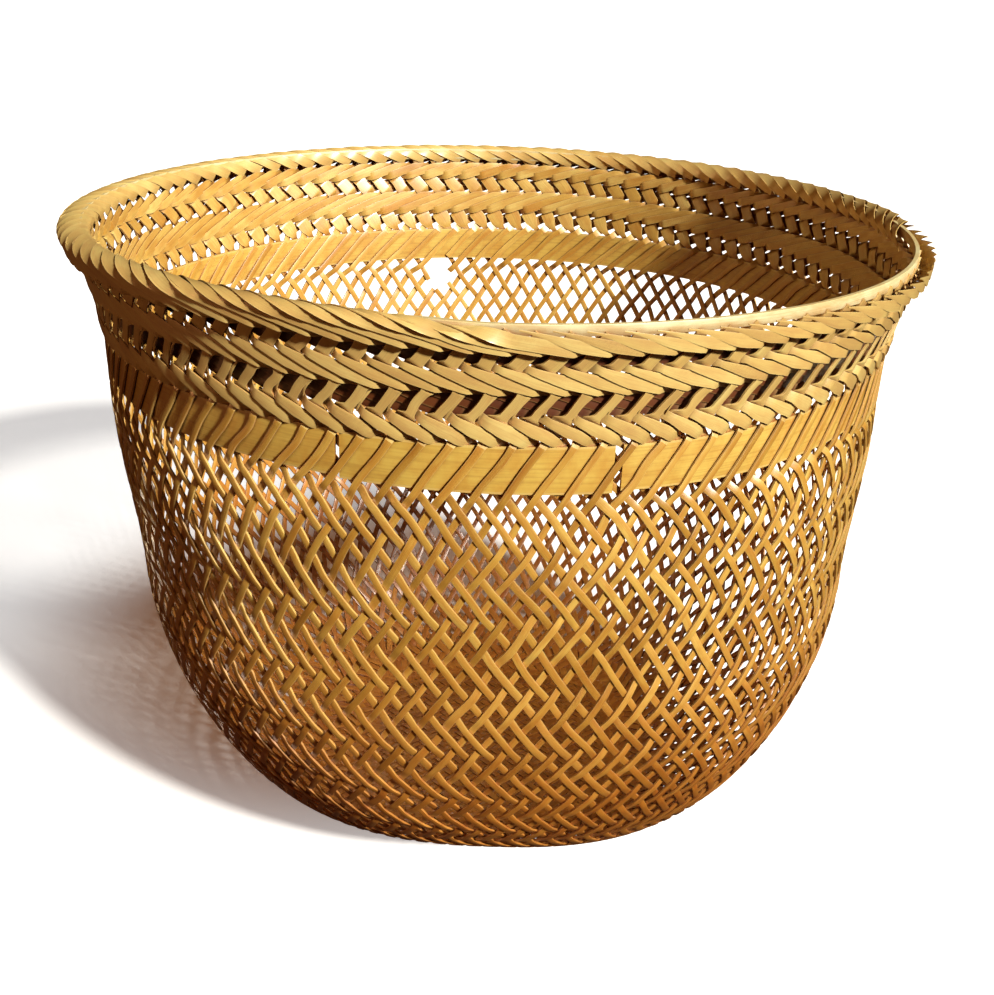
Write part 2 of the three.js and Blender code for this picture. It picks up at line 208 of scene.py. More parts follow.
def wall_place(length, angle):
    """A point on the wall's outside."""
    length = length + slip(length, angle)
    r = np.interp(length, LENGTH, RADIUS)
    z = np.interp(length, LENGTH, LEVEL)
    round_ = np.interp(length, LENGTH, ROUND)
    turned = angle - BASE_TURN
    side = np.floor(turned / (math.pi / 2))
    part = turned / (math.pi / 2) - side
    straight = side * math.pi / 2 + np.arctan2(part, 1 - part)
    share = smooth((r - BASE_HALF) / (BOWL_RADIUS - BASE_HALF))
    turned = straight + (turned - straight) * share
    radius = outline_radius(turned + math.pi / 4, r, round_)
    way = turned + BASE_TURN
    return handmade(radius * np.cos(way), radius * np.sin(way), z, way)


def wall_out(length, angle):
    """The way out of the wall at a point."""
    step = 0.4
    down = wall_place(np.minimum(length + step, LENGTH[-1]), angle) - wall_place(length - step, angle)
    round_ = wall_place(length, angle + 0.004) - wall_place(length, angle - 0.004)
    out = np.cross(down, round_)
    return out / np.linalg.norm(out, axis=-1, keepdims=True)


def base_place(u, v):
    """A point on the underside of the base, in strips from its middle."""
    count = np.abs(u) + np.abs(v)
    way = np.arctan2(v, u)
    half = BASE_HALF * count / BASE_ROUNDS
    round_ = np.maximum(BASE_ROUND * (count / BASE_ROUNDS) ** 6, 0.04)
    radius = outline_radius(way + math.pi / 4, half, round_)
    radius = np.where(count > 0.01, radius, 0)
    turned = way + BASE_TURN
    return np.stack([radius * np.cos(turned), radius * np.sin(turned), 0 * radius], -1)


# Over and under
def outside(number):
    """+1 where the left-leaning strip of a round of crossings lies outside, -1 where it lies inside."""
    if number <= BAND_ROUNDS[1]:
        return 1 if any(first <= number <= last for first, last in OUTER_ROWS) else -1
    return 1 if (number - BAND_ROUNDS[1] - 1) // 2 % 2 == 0 else -1


def strip_offset(number, lean):
    """How far a strip's middle lies off the wall's outside, at a round of crossings."""
    over = outside(number) * lean > 0
    if BAND_ROUNDS[0] <= number <= BAND_ROUNDS[1] and not over:
        return -3.0
    if number < BAND_ROUNDS[0] and not over:
        return -3.2 if lean > 0 else -1.75
    return -LAYER if over else -3 * LAYER


def between(values, place, reach=0.8):
    """Values given at whole numbers, changed over quickly between them."""
    low = np.clip(np.floor(place).astype(int), 0, len(values) - 2)
    part = smooth((place - low - 0.1) / reach)
    return values[low] * (1 - part) + values[low + 1] * part


OFFSETS = {lean: np.array([strip_offset(n, lean) for n in range(FOLD + 2)]) for lean in (1, -1)}
# How wide a strip is at a round of crossings, as a share of the plain width
ROW_WIDTH = 1.45
LEFT_WIDTH = [(0, ROW_WIDTH), (2.7, ROW_WIDTH), (3.6, 0.75), (4.3, ROW_WIDTH), (6.1, ROW_WIDTH), (6.6, 0.8),
              (8, ROW_WIDTH), (8.6, ROW_WIDTH), (9.6, 0.75), (10.3, ROW_WIDTH), (12.9, ROW_WIDTH),
              (13.5, 1.1), (14.3, 1.6), (14.9, 1.55), (15.7, 1.1), (16.2, 1), (17, 0.92), (42, 0.94),
              (52, 1.18), (FOLD, 1.14)]
RIGHT_WIDTH = [(0, 1.6), (5.9, 1.6), (6.5, 2.1), (9.2, 2.1), (10.1, 1.1), (12.9, 1.05), (13.6, 2.5),
               (14.7, 2.4), (15.5, 1), (16, 0.84), (19, 0.84), (20, 0.88), (42, 0.92), (52, 1.16),
               (FOLD, 1.14)]
# The edge of its row that a left-leaning strip keeps to where it narrows: 1 the upper, -1 the lower
LEFT_EDGE = [(0, 1), (2.3, 1), (2.5, -1), (4.4, -1), (4.6, 1), (8.2, 1), (8.4, -1), (10.4, -1), (10.6, 1),
             (14.5, 1), (14.7, -1), (15.7, -1), (16.3, 0)]
# How far the left-leaning strips stand out of the border at a round of crossings
LEFT_RISE = [(0, 0.9), (3.2, 0.5), (4, 0), (6, 0), (6.5, 0.9), (9.2, 0.4), (10, 0), (13, 0), (13.5, 0.8),
             (15.6, 0.1), (16, 0)]
# How far strips lie on their side there, in degrees, each with its lower edge over the strip below
LEFT_TILT = [(0, -9), (3, -10), (6, -10), (7, -9), (9, -9), (10, -10), (13, -10), (14, -5), (15, -5), (16, 0)]
RIGHT_TILT = [(3, 0), (4, -8), (6, -8), (7, 0), (9, 0), (10, -8), (13, -8), (14, 0)]
# How thick the left-leaning strips are there, as a share of the plain thickness
LEFT_THICK = [(0, 0.4), (12, 0.42), (14, 0.7), (16, 1)]
# Where painted shade darkens the outside of the left-leaning strips that lie behind the others, in the gaps
LEFT_GAP_SHADE = [(3.7, 0), (4.3, 1), (5.9, 1), (6.5, 0), (9.7, 0), (10.3, 1), (12.7, 1), (13.3, 0)]


def rope_swell(angle):
    """How far the top row stands out, most at the left and right of the oval rim."""
    return 1.5 + 2.5 * np.cos(angle) ** 2


class Strip:
    """What makes one strip differ from its neighbours."""

    def __init__(self):
        self.shade = rng.random()
        self.width = 1 + 0.07 * rng.standard_normal()
        self.waves = [(rng.uniform(2.5, 11), rng.uniform(0, 2 * math.pi), rng.normal(0, 0.22))
                      for _ in range(3)]

    def wander(self, place):
        """Small shift to the side, in millimetres."""
        return sum(size * np.sin(2 * math.pi * place / wave + phase) for wave, phase, size in self.waves)


def strip_angle(foot_angle, place, lean):
    """The angle round the axis that a strip has reached at a round of crossings."""
    turn = LEFT_TURN if lean > 0 else RIGHT_TURN
    return foot_angle - lean * (turn[-1] - np.interp(place, FINE, turn))


def at(place, table):
    """A value from a table of pairs."""
    numbers, values = np.array(table, float).T
    return np.interp(place, numbers, values)


def tilted(point, out, degrees):
    """The way out of a strip's face once the strip is turned about its own length."""
    along = np.gradient(point, axis=0)
    along /= np.linalg.norm(along, axis=1, keepdims=True)
    turn = np.radians(degrees)[:, None]
    return out * np.cos(turn) + np.cross(along, out) * np.sin(turn)


def wall_run(strip, foot_angle, lean, first, last):
    """A stretch of a strip on the wall, from one round of crossings down to another."""
    left = lean > 0
    fine = np.arange(first, min(last, COARSE_FROM), FINE_STEP)
    coarse = np.arange(max(first, COARSE_FROM), last, COARSE_STEP)
    place = np.concatenate([fine, coarse, [last]])
    angle = strip_angle(foot_angle, place, lean)
    angle = angle + strip.wander(place) / WANDER_RADIUS * smooth((FOLD - place) / 6)
    length = np.interp(place, FINE, ROUND_LENGTH)
    if left:
        # The top row is narrower below the bare hoop
        length = length + bare_share(angle) * 0.4 * np.maximum(10.5 - length, 0)
    out = wall_out(length, angle)
    offset = between(OFFSETS[lean], place)
    if left:
        offset = np.where(place < BAND_ROUNDS[0], between(OFFSETS[lean], place, 0.6), offset)
        offset = offset + at(place, LEFT_RISE) + rope_swell(angle) * smooth((4.4 - place) / 1.2)
    point = wall_place(length, angle) + out * offset[:, None]
    out = tilted(point, out, at(place, LEFT_TILT if left else RIGHT_TILT))
    widths = at(place, LEFT_WIDTH if left else RIGHT_WIDTH)
    run = {"point": point, "out": out, "wide": widths * strip.width, "strip": strip}
    if left:
        # A strip starts its row as a point along the upper edge and ends it as one along the lower edge
        point[:, 2] += at(place, LEFT_EDGE) * (ROW_WIDTH - widths) * STRIP_WIDTH / 2
        run["thick"] = at(place, LEFT_THICK)
        # Painted shade on the stretches that lie behind the others in the gaps
        run["stain"] = at(place, LEFT_GAP_SHADE)
    return run


# The end of a left-leaning strip past the top of its row: in towards the axis as a share of the way, up,
# and on round the rim
WRAP = [(0, 0, 0), (0.03, 1.5, 5.5), (0.2, 2.6, 11), (0.5, 3.0, 16.5), (0.8, 2.3, 22), (0.97, 0.7, 27),
        (1, -1.2, 31.5), (0.94, -3.0, 36)]
WRAP_REACH = 5.6
WRAP_WIDTH = 1.6


def over_the_rim(strip, run):
    """The end of a left-leaning strip, from the top of its row over the hoop and down its inside."""
    top = run["point"][0]
    steps = np.array(WRAP)
    place = np.linspace(0, len(steps) - 1, 3 * (len(steps) - 1) + 1)
    share, rise, shift = (eased_line(place, steps[:, n]) for n in range(3))
    radius = math.hypot(top[0] + LEAN * top[2], top[1])
    radial = -share * (WRAP_REACH + rope_swell(math.atan2(top[1], top[0])))
    turned = math.atan2(top[1], top[0] + LEAN * top[2]) - shift / radius
    x = (radius + radial) * np.cos(turned) - LEAN * (top[2] + rise)
    point = np.stack([x, (radius + radial) * np.sin(turned), top[2] + rise], -1)
    d_radial, d_rise = np.gradient(radial), np.gradient(rise)
    size = np.hypot(d_radial, d_rise)
    out_r, out_z = d_rise / size, -d_radial / size
    out = np.stack([out_r * np.cos(turned), out_r * np.sin(turned), out_z], -1)
    out = tilted(point, out, LEFT_TILT[0][1] * (smooth((place - 3) / 3) - 1))
    wide = run["wide"][0] + (WRAP_WIDTH * strip.width - run["wide"][0]) * smooth(place / 3)
    wrap = {"point": point, "out": out, "wide": wide, "thick": np.full(len(place), run["thick"][0]),
            "stain": np.zeros(len(place))}
    joined = {key: np.concatenate([values[:0:-1], run[key]]) for key, values in wrap.items()}
    return joined | {"strip": strip}


def tucked_in(run):
    """The end of a left-leaning strip that stops at the top of its row, pared to a long point."""
    share = smooth(1 - np.arange(len(run["point"])) / 12)
    run["point"] = run["point"] - run["out"] * 0.5 * share[:, None]
    run["point"][:, 2] += 1.9 * share
    run["wide"] = run["wide"] * (1 - 0.88 * share)
    return run


def sliver(strip, foot_angle, first, last):
    """A thin splinter of a right-leaning strip that bows out beside it."""
    share = np.linspace(0, 1, 10)
    bow = np.sin(math.pi * share)
    place = first + (last - first) * share
    beside = rng.uniform(2.6, 3.6) - rng.uniform(0.6, 1.8) * bow
    angle = strip_angle(foot_angle, place, -1) + beside / SPLINTER_RADIUS
    length = np.interp(place, FINE, ROUND_LENGTH)
    out = wall_out(length, angle)
    point = wall_place(length, angle) + out * (rng.uniform(0.2, 0.7) * bow - 1.2)[:, None]
    wide = rng.uniform(0.28, 0.45) * (0.35 + 0.65 * bow)
    return {"point": point, "out": out, "wide": wide, "thick": np.full(len(place), 0.4), "strip": strip}


# A place at the back where strips have broken away: angles in degrees and heights
HOLE_ANGLES = (99.8, 103.2)
HOLE_HEIGHTS = (178, 195)


def broken_at_hole(run):
    """The stretches of a run that lie outside the hole."""
    x, y, z = run["point"].T
    degrees = np.degrees(np.arctan2(y, x + LEAN * z))
    gone = (degrees > HOLE_ANGLES[0]) & (degrees < HOLE_ANGLES[1])
    gone &= (z > HOLE_HEIGHTS[0]) & (z < HOLE_HEIGHTS[1])
    if not gone.any():
        return [run]
    first, last = np.flatnonzero(gone)[[0, -1]]
    return [{key: value if key == "strip" else value[part] for key, value in run.items()}
            for part in (slice(0, first), slice(last + 1, None))]


def eased_line(place, values):
    """A smooth line through values at whole places."""
    slopes = np.gradient(values)
    low = np.clip(np.floor(place).astype(int), 0, len(values) - 2)
    t = place - low
    line = (2 * t**3 - 3 * t**2 + 1) * values[low] + (t**3 - 2 * t**2 + t) * slopes[low]
    return line + (3 * t**2 - 2 * t**3) * values[low + 1] + (t**3 - t**2) * slopes[low + 1]


def base_run(strip, v, quarter):
    """A strip's stretch across the base."""
    reach = BASE_ROUNDS - abs(v)
    stations = np.arange(reach, -reach - 0.5, -1)
    rounds = [FOLD + BASE_ROUNDS - int(round(abs(u) + abs(v))) for u in stations]
    signs = np.array([outside(number) * (1 if u * v > 0 else -1) for number, u in zip(rounds, stations)])
    count = max(4 * (len(stations) - 1), 1)
    place = np.linspace(0, len(stations) - 1, count + 1)
    offset = between(np.where(signs > 0, -LAYER, -3 * LAYER), place)
    u = reach - place
    x, y, z = base_place(u, np.full_like(u, v)).T
    cos, sin = math.cos(quarter * math.pi / 2), math.sin(quarter * math.pi / 2)
    turned = np.stack([x * cos - y * sin, x * sin + y * cos, z], -1)
    out = np.zeros_like(turned)
    out[:, 2] = -1
    wide = np.full(len(u), 0.98 * strip.width)
    return {"point": turned + out * offset[:, None], "out": out, "wide": wide, "strip": strip}


def plait():
    """Every strip of the basket, cut where the base, the wall and the border meet."""
    base = {0: [], 1: []}
    wall, left_border, right_border = [], [], []
    for quarter in (0, 1):
        for v in np.arange(-BASE_ROUNDS + 0.5, BASE_ROUNDS):
            strip = Strip()
            base[quarter].append(base_run(strip, v, quarter))
            ends = ((v * GAP, 1 if v > 0 else -1), (math.pi - v * GAP, -1 if v > 0 else 1))
            for angle, lean in ends:
                foot = BASE_TURN + quarter * math.pi / 2 + angle
                wall.extend(broken_at_hole(wall_run(strip, foot, lean, BORDER_CUT, FOLD)))
                top = math.remainder(strip_angle(foot, LEFT_TOP, lean), 2 * math.pi)
                bare = BARE_FROM < top < BARE_TO
                if lean > 0 and bare:
                    left_border.append(tucked_in(wall_run(strip, foot, lean, BARE_LEFT_TOP, BORDER_CUT)))
                elif lean > 0:
                    left_border.append(over_the_rim(strip, wall_run(strip, foot, lean, LEFT_TOP, BORDER_CUT)))
                else:
                    first = BARE_RIGHT_TOP if bare else RIGHT_TOP
                    right_border.append(wall_run(strip, foot, lean, first, BORDER_CUT))
                    for chance, start, least, most in SPLINTERS:
                        if rng.random() < chance:
                            right_border.append(sliver(strip, foot, start, rng.uniform(least, most)))
    return base, wall, left_border, right_border


# Node tools
def linear(hex_colour):
    """An sRGB hex colour as the linear colour that Blender works in."""
    parts = [int(hex_colour[n:n + 2], 16) / 255 for n in (1, 3, 5)]
    return [c / 12.92 if c <= 0.04045 else ((c + 0.055) / 1.055) ** 2.4 for c in parts] + [1.0]


def add(tree, kind, inputs=None, stops=(), **settings):
    """Adds a node to a tree, with its settings, colour stops, values and links, and gives its outputs."""
    node = tree.nodes.new(kind)
    for name, value in settings.items():
        setattr(node, name, value)
    for name, value in (inputs or {}).items():
        if isinstance(value, bpy.types.NodeSocket):
            tree.links.new(value, node.inputs[name])
        elif isinstance(value, str) and value.startswith("#"):
            node.inputs[name].default_value = linear(value)
        else:
            node.inputs[name].default_value = value
    for _ in stops[2:]:
        node.color_ramp.elements.new(0.5)
    for n, (place, colour) in enumerate(stops):
        node.color_ramp.elements[n].position = place
        node.color_ramp.elements[n].color = linear(colour)
    return node.outputs


def sweep_tree():
    """Carries a flat section with eased corners along each line of a mesh of lines."""
    tree = bpy.data.node_groups.new("flat_strip", "GeometryNodeTree")
    face = tree.interface
    face.new_socket("Lines", in_out="INPUT", socket_type="NodeSocketGeometry")
    for name, value in (("Width", STRIP_WIDTH * MM), ("Thickness", STRIP_THICK * MM), ("Corner", 0.3)):
        face.new_socket(name, in_out="INPUT", socket_type="NodeSocketFloat").default_value = value
    face.new_socket("Material", in_out="INPUT", socket_type="NodeSocketMaterial")
    face.new_socket("Strips", in_out="OUTPUT", socket_type="NodeSocketGeometry")
    start = add(tree, "NodeGroupInput")
    read = {}
    for name in ("out_way", "across_way", "middle", "section", "wide", "thick"):
        kind = "FLOAT" if name in ("wide", "thick") else "FLOAT_VECTOR"
        read[name] = add(tree, "GeometryNodeInputNamedAttribute", {"Name": name}, data_type=kind)["Attribute"]
    position = add(tree, "GeometryNodeInputPosition")["Position"]

    # Each point keeps the way across its strip and its own place, which the swept section starts from
    line = add(tree, "GeometryNodeMeshToCurve", {"Mesh": start["Lines"]})["Curve"]
    tangent = add(tree, "GeometryNodeInputTangent")["Tangent"]
    across_way = add(tree, "ShaderNodeVectorMath", {0: tangent, 1: read["out_way"]},
                     operation="CROSS_PRODUCT")["Vector"]
    across_way = add(tree, "ShaderNodeVectorMath", {0: across_way}, operation="NORMALIZE")["Vector"]
    for name, value in (("across_way", across_way), ("middle", position)):
        line = add(tree, "GeometryNodeStoreNamedAttribute", {"Geometry": line, "Name": name, "Value": value},
                   data_type="FLOAT_VECTOR", domain="POINT")["Geometry"]
    section = add(tree, "GeometryNodeCurvePrimitiveQuadrilateral", {"Width": 2.0, "Height": 2.0})["Curve"]
    section = add(tree, "GeometryNodeFilletCurve", {"Curve": section, "Count": 1, "Radius": start["Corner"]},
                  mode="POLY")["Curve"]
    section = add(tree, "GeometryNodeStoreNamedAttribute",
                  {"Geometry": section, "Name": "section", "Value": position},
                  data_type="FLOAT_VECTOR", domain="POINT")["Geometry"]
    body = add(tree, "GeometryNodeCurveToMesh",
               {"Curve": line, "Profile Curve": section, "Fill Caps": True})["Mesh"]

    # Every point of the section is put at its share of the width and of the thickness. That mirrors the
    # section, so the faces are turned outwards again.
    body = add(tree, "GeometryNodeFlipFaces", {"Mesh": body})["Mesh"]
    place = add(tree, "ShaderNodeSeparateXYZ", {0: read["section"]})
    where = read["middle"]
    for way, factors in ((read["across_way"], (place["X"], start["Width"], read["wide"], 0.5)),
                         (read["out_way"], (place["Y"], start["Thickness"], read["thick"], 0.5))):
        for factor in factors:
            way = add(tree, "ShaderNodeVectorMath", {0: way, "Scale": factor}, operation="SCALE")["Vector"]
        where = add(tree, "ShaderNodeVectorMath", {0: where, 1: way}, operation="ADD")["Vector"]
    body = add(tree, "GeometryNodeSetPosition", {"Geometry": body, "Position": where})["Geometry"]
    for name, value in (("across", place["X"]), ("facing", place["Y"])):
        body = add(tree, "GeometryNodeStoreNamedAttribute", {"Geometry": body, "Name": name, "Value": value},
                   data_type="FLOAT", domain="POINT")["Geometry"]

    # Smooth along the strip, with crisp corners
    body = add(tree, "GeometryNodeSetShadeSmooth", {"Geometry": body}, domain="FACE")["Geometry"]
    bend = add(tree, "GeometryNodeInputMeshEdgeAngle")["Unsigned Angle"]
    sharp = add(tree, "FunctionNodeCompare", {0: bend, 1: math.radians(50)},
                operation="GREATER_THAN")["Result"]
    body = add(tree, "GeometryNodeSetShadeSmooth",
               {"Geometry": body, "Selection": sharp, "Shade Smooth": False}, domain="EDGE")["Geometry"]
    for name in read:
        body = add(tree, "GeometryNodeRemoveAttribute", {"Geometry": body, "Name": name})["Geometry"]
    body = add(tree, "GeometryNodeSetMaterial", {"Geometry": body, "Material": start["Material"]})["Geometry"]
    body = add(tree, "GeometryNodeRealizeInstances", {"Geometry": body})["Geometry"]
    add(tree, "NodeGroupOutput", {"Strips": body})
    return tree


SWEEP = sweep_tree()
PATTERN_SHIFT = 400  # each strip starts somewhere along this many millimetres of the pattern


def swept_piece(name, runs, material, width=STRIP_WIDTH, thickness=STRIP_THICK, corner=0.2):
    """A piece of one or more strips, each carried along its own line."""
    marks = {"along": [], "shade": [], "thick": [], "wide": [], "stain": []}
    for run in runs:
        count = len(run["point"])
        steps = np.linalg.norm(np.diff(run["point"], axis=0), axis=1)
        marks["along"].append(np.concatenate([[0], np.cumsum(steps)]) + PATTERN_SHIFT * run["strip"].shade)
        marks["shade"].append(np.full(count, run["strip"].shade))
        marks["thick"].append(run.get("thick", np.ones(count)))
        marks["wide"].append(run["wide"])
        marks["stain"].append(run.get("stain", np.zeros(count)))
    point = np.concatenate([run["point"] for run in runs]) * MM
    last_points = np.cumsum([len(run["point"]) for run in runs]) - 1
    pairs = np.stack([np.arange(len(point) - 1), np.arange(1, len(point))], -1)
    pairs = np.delete(pairs, last_points[:-1], axis=0)
    mesh = bpy.data.meshes.new(name)
    mesh.vertices.add(len(point))
    mesh.vertices.foreach_set("co", point.astype(np.float32).ravel())
    mesh.edges.add(len(pairs))
    mesh.edges.foreach_set("vertices", pairs.astype(np.int32).ravel())
    for label, values in marks.items():
        values = np.concatenate(values).astype(np.float32)
        mesh.attributes.new(label, "FLOAT", "POINT").data.foreach_set("value", values)
    out = np.concatenate([run["out"] for run in runs]).astype(np.float32)
    mesh.attributes.new("out_way", "FLOAT_VECTOR", "POINT").data.foreach_set("vector", out.ravel())
    mesh.update()
    piece = bpy.data.objects.new(name, mesh)
    scene.collection.objects.link(piece)
    modifier = piece.modifiers.new("Sweep", "NODES")
    modifier.node_group = SWEEP
    values = {"Width": width * MM, "Thickness": thickness * MM, "Corner": corner, "Material": material}
    for socket in SWEEP.interface.items_tree:
        if socket.item_type == "SOCKET" and socket.name in values:
            modifier[socket.identifier] = values[socket.name]
    bpy.context.view_layer.update()
    made = bpy.data.meshes.new_from_object(piece.evaluated_get(bpy.context.evaluated_depsgraph_get()))
    piece.modifiers.clear()
    piece.data = made
    made.name = name
    return piece


# Materials
FIBRE_SCALE = (0.04, 9.0, 90.0)  # fibres some 25 mm long and 0.15 mm across the strip
BLOTCH_SCALE = (0.085, 0.5, 37.0)  # blotches some 12 mm long
FIBRE_TONES = [(0.3, "#C6A05A"), (0.5, "#F4EACC"), (0.72, "#FFFFFF")]
FOOT_SHADE_TOP, FOOT_SHADE_FULL = 0.16, 0.05  # heights in metres from which painted shade darkens and reddens the strips towards the foot, and where it is strongest
CREVICE_SHADE_REACH = 0.005  # painted shade darkens the strips where other strips lie closer than this, in metres


def lacquered_rattan(name, tones, roughness=0.42, coat=1.0, outer_sheen=0.0):
    """Split rattan under a clear lacquer: fine lengthwise fibres, blotches along the strip, each strip
    of its own tone from pale straw to orange, and a wet-looking gloss."""
    material = bpy.data.materials.new(name)
    material.use_nodes = True
    tree = material.node_tree
    tree.nodes.clear()
    read = {label: add(tree, "ShaderNodeAttribute", attribute_name=label)["Fac"]
            for label in ("along", "across", "shade", "facing", "stain")}
    place = add(tree, "ShaderNodeCombineXYZ",
                {0: read["along"], 1: read["across"], 2: read["shade"]})["Vector"]
    noises = []
    for scale, detail in ((FIBRE_SCALE, 3.0), (BLOTCH_SCALE, 4.0)):
        spot = add(tree, "ShaderNodeVectorMath", {0: place, 1: scale}, operation="MULTIPLY")["Vector"]
        noises.append(add(tree, "ShaderNodeTexNoise",
                          {"Vector": spot, "Scale": 1.0, "Detail": detail, "Roughness": 0.6})["Fac"])
    fibre, blotch = noises
    seed = add(tree, "ShaderNodeMath", {0: read["shade"], 1: 977.0}, operation="MULTIPLY")["Value"]
    own = add(tree, "ShaderNodeTexWhiteNoise", {"W": seed}, noise_dimensions="1D")["Value"]
    tone = add(tree, "ShaderNodeValToRGB", {"Fac": own}, tones)["Color"]

    blotched = add(tree, "ShaderNodeValToRGB", {"Fac": blotch},
                   [(0.38, "#FFFFFF"), (0.62, "#000000")])["Color"]
    blotched = add(tree, "ShaderNodeMath", {0: blotched, 1: 0.5}, operation="MULTIPLY")["Value"]
    fibred = add(tree, "ShaderNodeValToRGB", {"Fac": fibre}, FIBRE_TONES)["Color"]
    side = add(tree, "ShaderNodeMath", {0: read["across"]}, operation="ABSOLUTE")["Value"]
    side = add(tree, "ShaderNodeMath", {0: side, 1: 0.9}, operation="GREATER_THAN")["Value"]
    side = add(tree, "ShaderNodeMath", {0: side, 1: 0.35}, operation="MULTIPLY")["Value"]
    where = add(tree, "ShaderNodeTexCoord")["Object"]
    level = add(tree, "ShaderNodeSeparateXYZ", {0: where})["Z"]
    # Painted shade: the strips darken and redden towards the foot
    foot = add(tree, "ShaderNodeMapRange", {"Value": level, "From Min": FOOT_SHADE_TOP, "From Max": FOOT_SHADE_FULL},
               interpolation_type="SMOOTHSTEP")["Result"]
    # Painted shade: darker brown where other strips lie close, in the crevices between them
    near = add(tree, "ShaderNodeAmbientOcclusion", {"Distance": CREVICE_SHADE_REACH}, samples=6)["AO"]
    crevice_shade = add(tree, "ShaderNodeMapRange", {"Value": near, "From Min": 0.15, "From Max": 0.8,
                                               "To Min": 1.0, "To Max": 0.0})["Result"]
    # Painted sheen: the outer faces of the strips are mixed towards pale yellow
    outer = add(tree, "ShaderNodeMath", {0: read["facing"], 1: 0.0}, operation="MAXIMUM")["Value"]
    painted_outer_sheen = add(tree, "ShaderNodeMath", {0: outer, 1: outer_sheen}, operation="MULTIPLY")["Value"]
    # Painted shade on the outer faces of strips that lie behind others in the gaps
    gap_shade_outside = add(tree, "ShaderNodeMath", {0: read["stain"], 1: outer}, operation="MULTIPLY")["Value"]
    # From the first layer to the last: blotches, fibres, the paler cut sides, painted shade reddening the
    # foot, painted shade in the crevices, a painted sheen on the outer faces, and painted shade behind other
    # strips in the gaps
    for factor, colour, blend in ((blotched, "#DCA650", "MULTIPLY"), (0.5, fibred, "MULTIPLY"),
                                  (side, "#F0D68C", "MIX"), (foot, "#DEB488", "MULTIPLY"),
                                  (crevice_shade, "#A45E24", "MULTIPLY"), (painted_outer_sheen, "#F8E29C", "MIX"),
                                  (gap_shade_outside, "#7A4A20", "MULTIPLY")):
        tone = add(tree, "ShaderNodeMix", {"Factor": factor, 6: tone, 7: colour},
                   data_type="RGBA", blend_type=blend)[2]

    relief = add(tree, "ShaderNodeBump", {"Height": fibre, "Strength": 0.35, "Distance": 0.00012})["Normal"]
    rough = add(tree, "ShaderNodeMapRange", {"Value": fibre, "To Min": roughness + 0.1,
                                             "To Max": roughness - 0.06})["Result"]
    shader = add(tree, "ShaderNodeBsdfPrincipled",
                 {"Base Color": tone, "Roughness": rough, "Normal": relief, "Coat Weight": coat,
                  "Coat Roughness": 0.34, "IOR": 1.5, "Specular IOR Level": 0.9})
    add(tree, "ShaderNodeOutputMaterial", {"Surface": shader["BSDF"]})
    return material


def studio_floor():
    """Matt white paint that glows evenly, with a painted warm brown shadow round the place where the basket's
    shadow falls.
    """
    material = bpy.data.materials.new("matt_white_floor")
    material.use_nodes = True
    tree = material.node_tree
    tree.nodes.clear()
    place = add(tree, "ShaderNodeTexCoord")["Object"]
    # The middle of the painted shadow on the floor, behind the basket to its left
    reach = add(tree, "ShaderNodeVectorMath", {0: place, 1: (-0.07, 0.1, 0)}, operation="DISTANCE")["Value"]
    outside_painted_shadow = add(tree, "ShaderNodeMapRange", {"Value": reach, "From Min": 0.1, "From Max": 0.22},
                interpolation_type="SMOOTHSTEP")["Result"]
    glow_with_painted_shadow = add(tree, "ShaderNodeMix", {"Factor": outside_painted_shadow, 6: "#7A4A1C", 7: "#FFFFFF"}, data_type="RGBA")[2]
    shader = add(tree, "ShaderNodeBsdfPrincipled", {"Base Color": "#FFFFFF", "Roughness": 0.9,
                                                    "Emission Color": glow_with_painted_shadow, "Emission Strength": 0.6})
    add(tree, "ShaderNodeOutputMaterial", {"Surface": shader["BSDF"]})
    return material


WALL_TONES = [(0.0, "#B48630"), (0.15, "#CC9E42"), (0.5, "#DAAE4E"), (0.85, "#EAC668"), (0.97, "#CE9C42"),
              (1.0, "#BC8034")]
BORDER_TONES = [(0.0, "#C2943C"), (0.15, "#D4AC54"), (0.5, "#E0BE66"), (0.85, "#ECD07E"), (0.97, "#D8A84A"),
                (1.0, "#C48634")]
BASE_TONES = [(0.0, "#AC8434"), (0.5, "#C09640"), (1.0, "#CEA850")]
BAND_TONES = [(0.0, "#D8B654"), (0.5, "#E0BE5C"), (1.0, "#E6C668")]
HOOP_TONES = [(0.0, "#E8E2B8"), (0.5, "#E6DFB2"), (1.0, "#ECE6C0")]

wall_rattan = lacquered_rattan("lacquered_wall_rattan", WALL_TONES)
# The border's outer faces get a painted sheen
border_rattan = lacquered_rattan("lacquered_border_rattan", BORDER_TONES, outer_sheen=0.25)
base_rattan = lacquered_rattan("lacquered_base_rattan", BASE_TONES)
band_rattan = lacquered_rattan("lacquered_band_splint", BAND_TONES)
hoop_rattan = lacquered_rattan("pale_hoop_splint", HOOP_TONES, roughness=0.5, coat=0.1)

# Pieces
def ring_run(first, last, radius, level, height):
    """A splint bent round the basket, from one angle in degrees to another."""
    count = int(abs(last - first) / 1.2)
    angle = np.radians(np.linspace(first, last, count + 1))
    point = handmade(radius * np.cos(angle), radius * np.sin(angle), level(angle), angle)
    out = np.stack([np.cos(angle), np.sin(angle), 0 * angle], -1)
    return {"point": point, "out": out, "wide": np.full(count + 1, height), "thick": np.ones(count + 1),
            "strip": Strip(), "angle": angle}


def long_band_level(angle):
    """The height of the middle of the band's long length."""
    return BAND_MIDDLE - border_drop(angle)


def short_band_level(angle):
    """The height of the middle of the band's short length."""
    return long_band_level(angle) - 0.4


def hoop_level(angle):
    """The height of the middle of the hoop."""
    return HOOP_MIDDLE + 0.15 * bare_share(angle)


